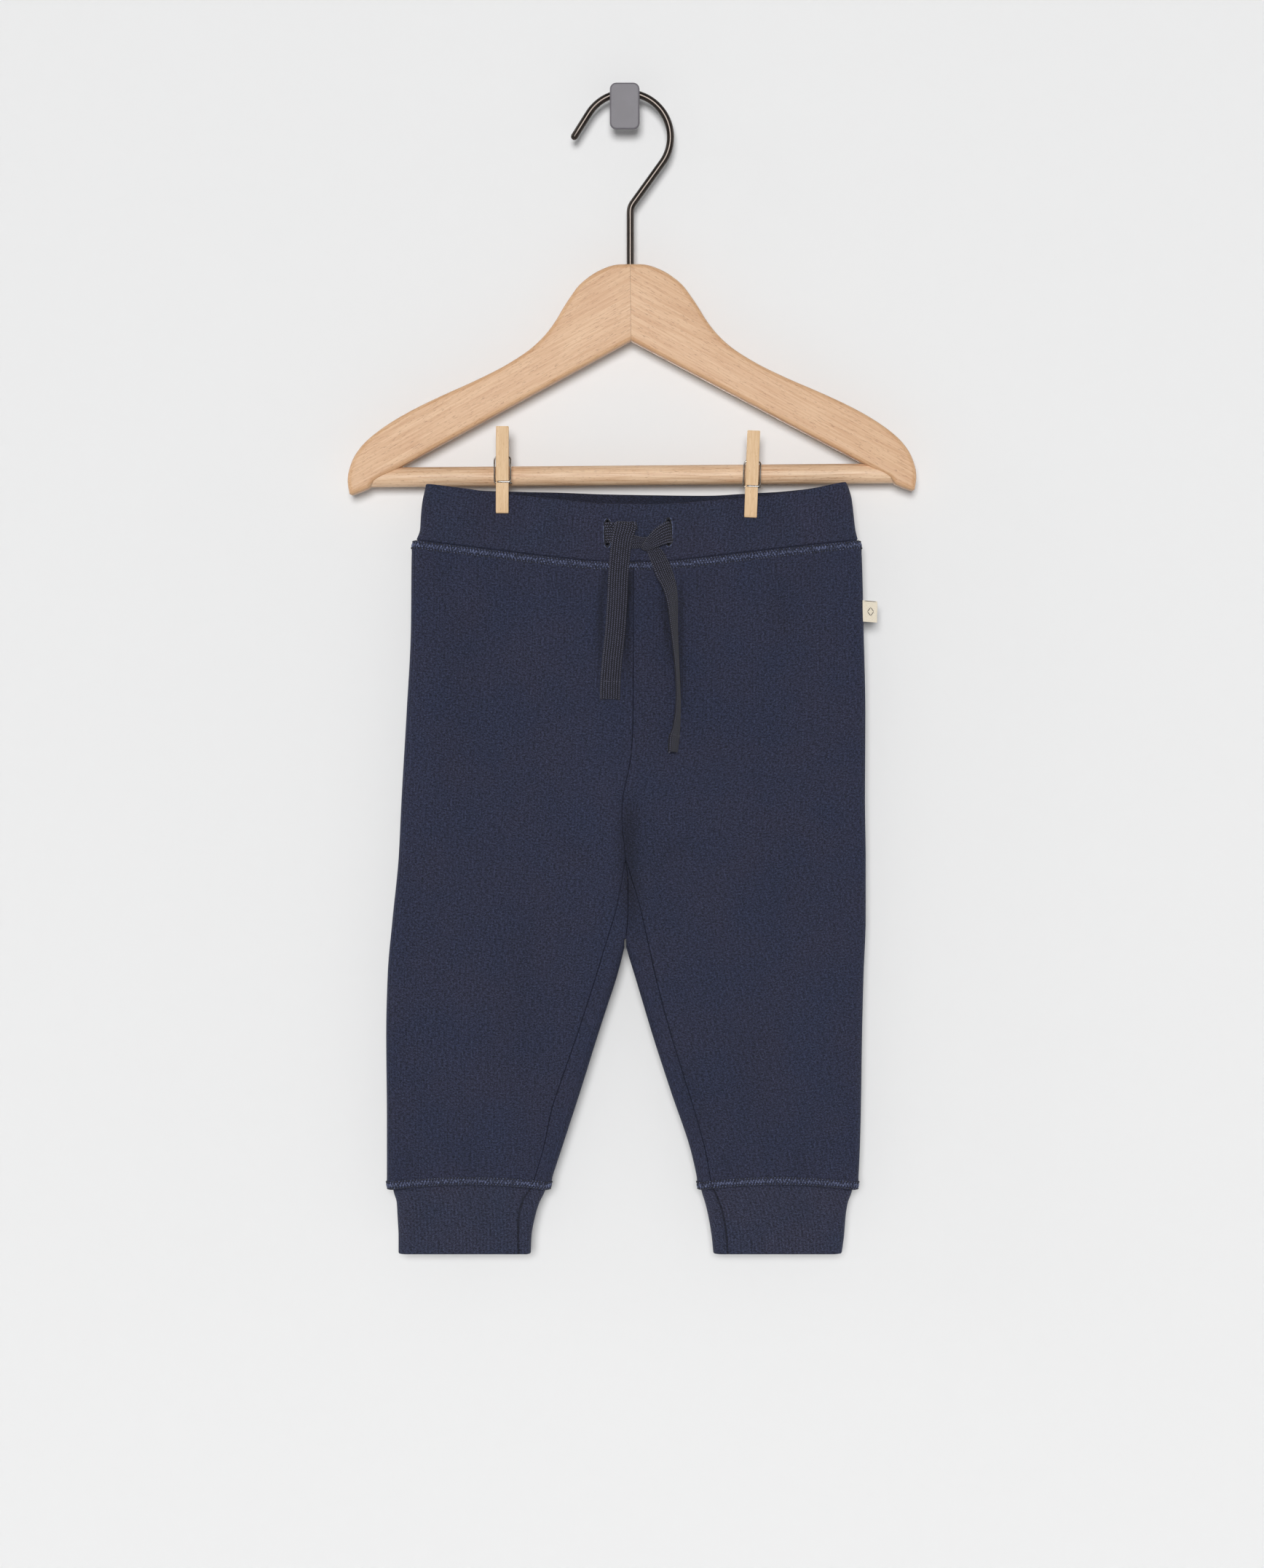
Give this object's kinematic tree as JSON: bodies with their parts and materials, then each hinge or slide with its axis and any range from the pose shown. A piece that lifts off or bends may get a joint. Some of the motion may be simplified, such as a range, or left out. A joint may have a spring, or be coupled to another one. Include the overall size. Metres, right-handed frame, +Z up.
{
  "type": "jogger sweatpants on a wooden hanger",
  "caption": "Toddler jogger sweatpants with rib waistband, drawstring and rib cuffs, pegged flat to the bar of a wooden hanger on a small wall hook.",
  "frame": {"origin": "middle of the wall hook's flat back face, on the wall", "axes": "+Y into the wall, +Z up, +X to the right of someone who looks at the garment's front"},
  "size_m": [0.3138, 0.043, 0.6452],
  "materials": {
    "jersey": "navy cotton sweat jersey, matte",
    "rib": "navy cotton rib, matte",
    "tape": "grey navy herringbone cotton tape",
    "label": "cream woven label",
    "beech": "satin lacquered beech",
    "peg_wood": "bare birch",
    "hook_wire": "dark gunmetal plated steel wire",
    "spring_wire": "bright spring steel",
    "wall_hook": "satin grey metal"
  },
  "bodies": {
    "root": {"waistband": "rib", "front_left": "jersey", "front_right": "jersey", "back_left": "jersey", "back_right": "jersey", "cuff_left": "rib", "cuff_right": "rib", "drawstring_left": "tape", "drawstring_right": "tape", "drawstring_knot": "tape", "side_label": "label", "hanger_left": "beech", "hanger_right": "beech", "hanger_bar": "beech", "hanger_hook": "hook_wire", "peg_left_front": "peg_wood", "peg_left_back": "peg_wood", "peg_left_spring": "spring_wire", "peg_right_front": "peg_wood", "peg_right_back": "peg_wood", "peg_right_spring": "spring_wire", "wall_hook_stem": "wall_hook", "wall_hook_plate": "wall_hook"}
  },
  "joints": []
}
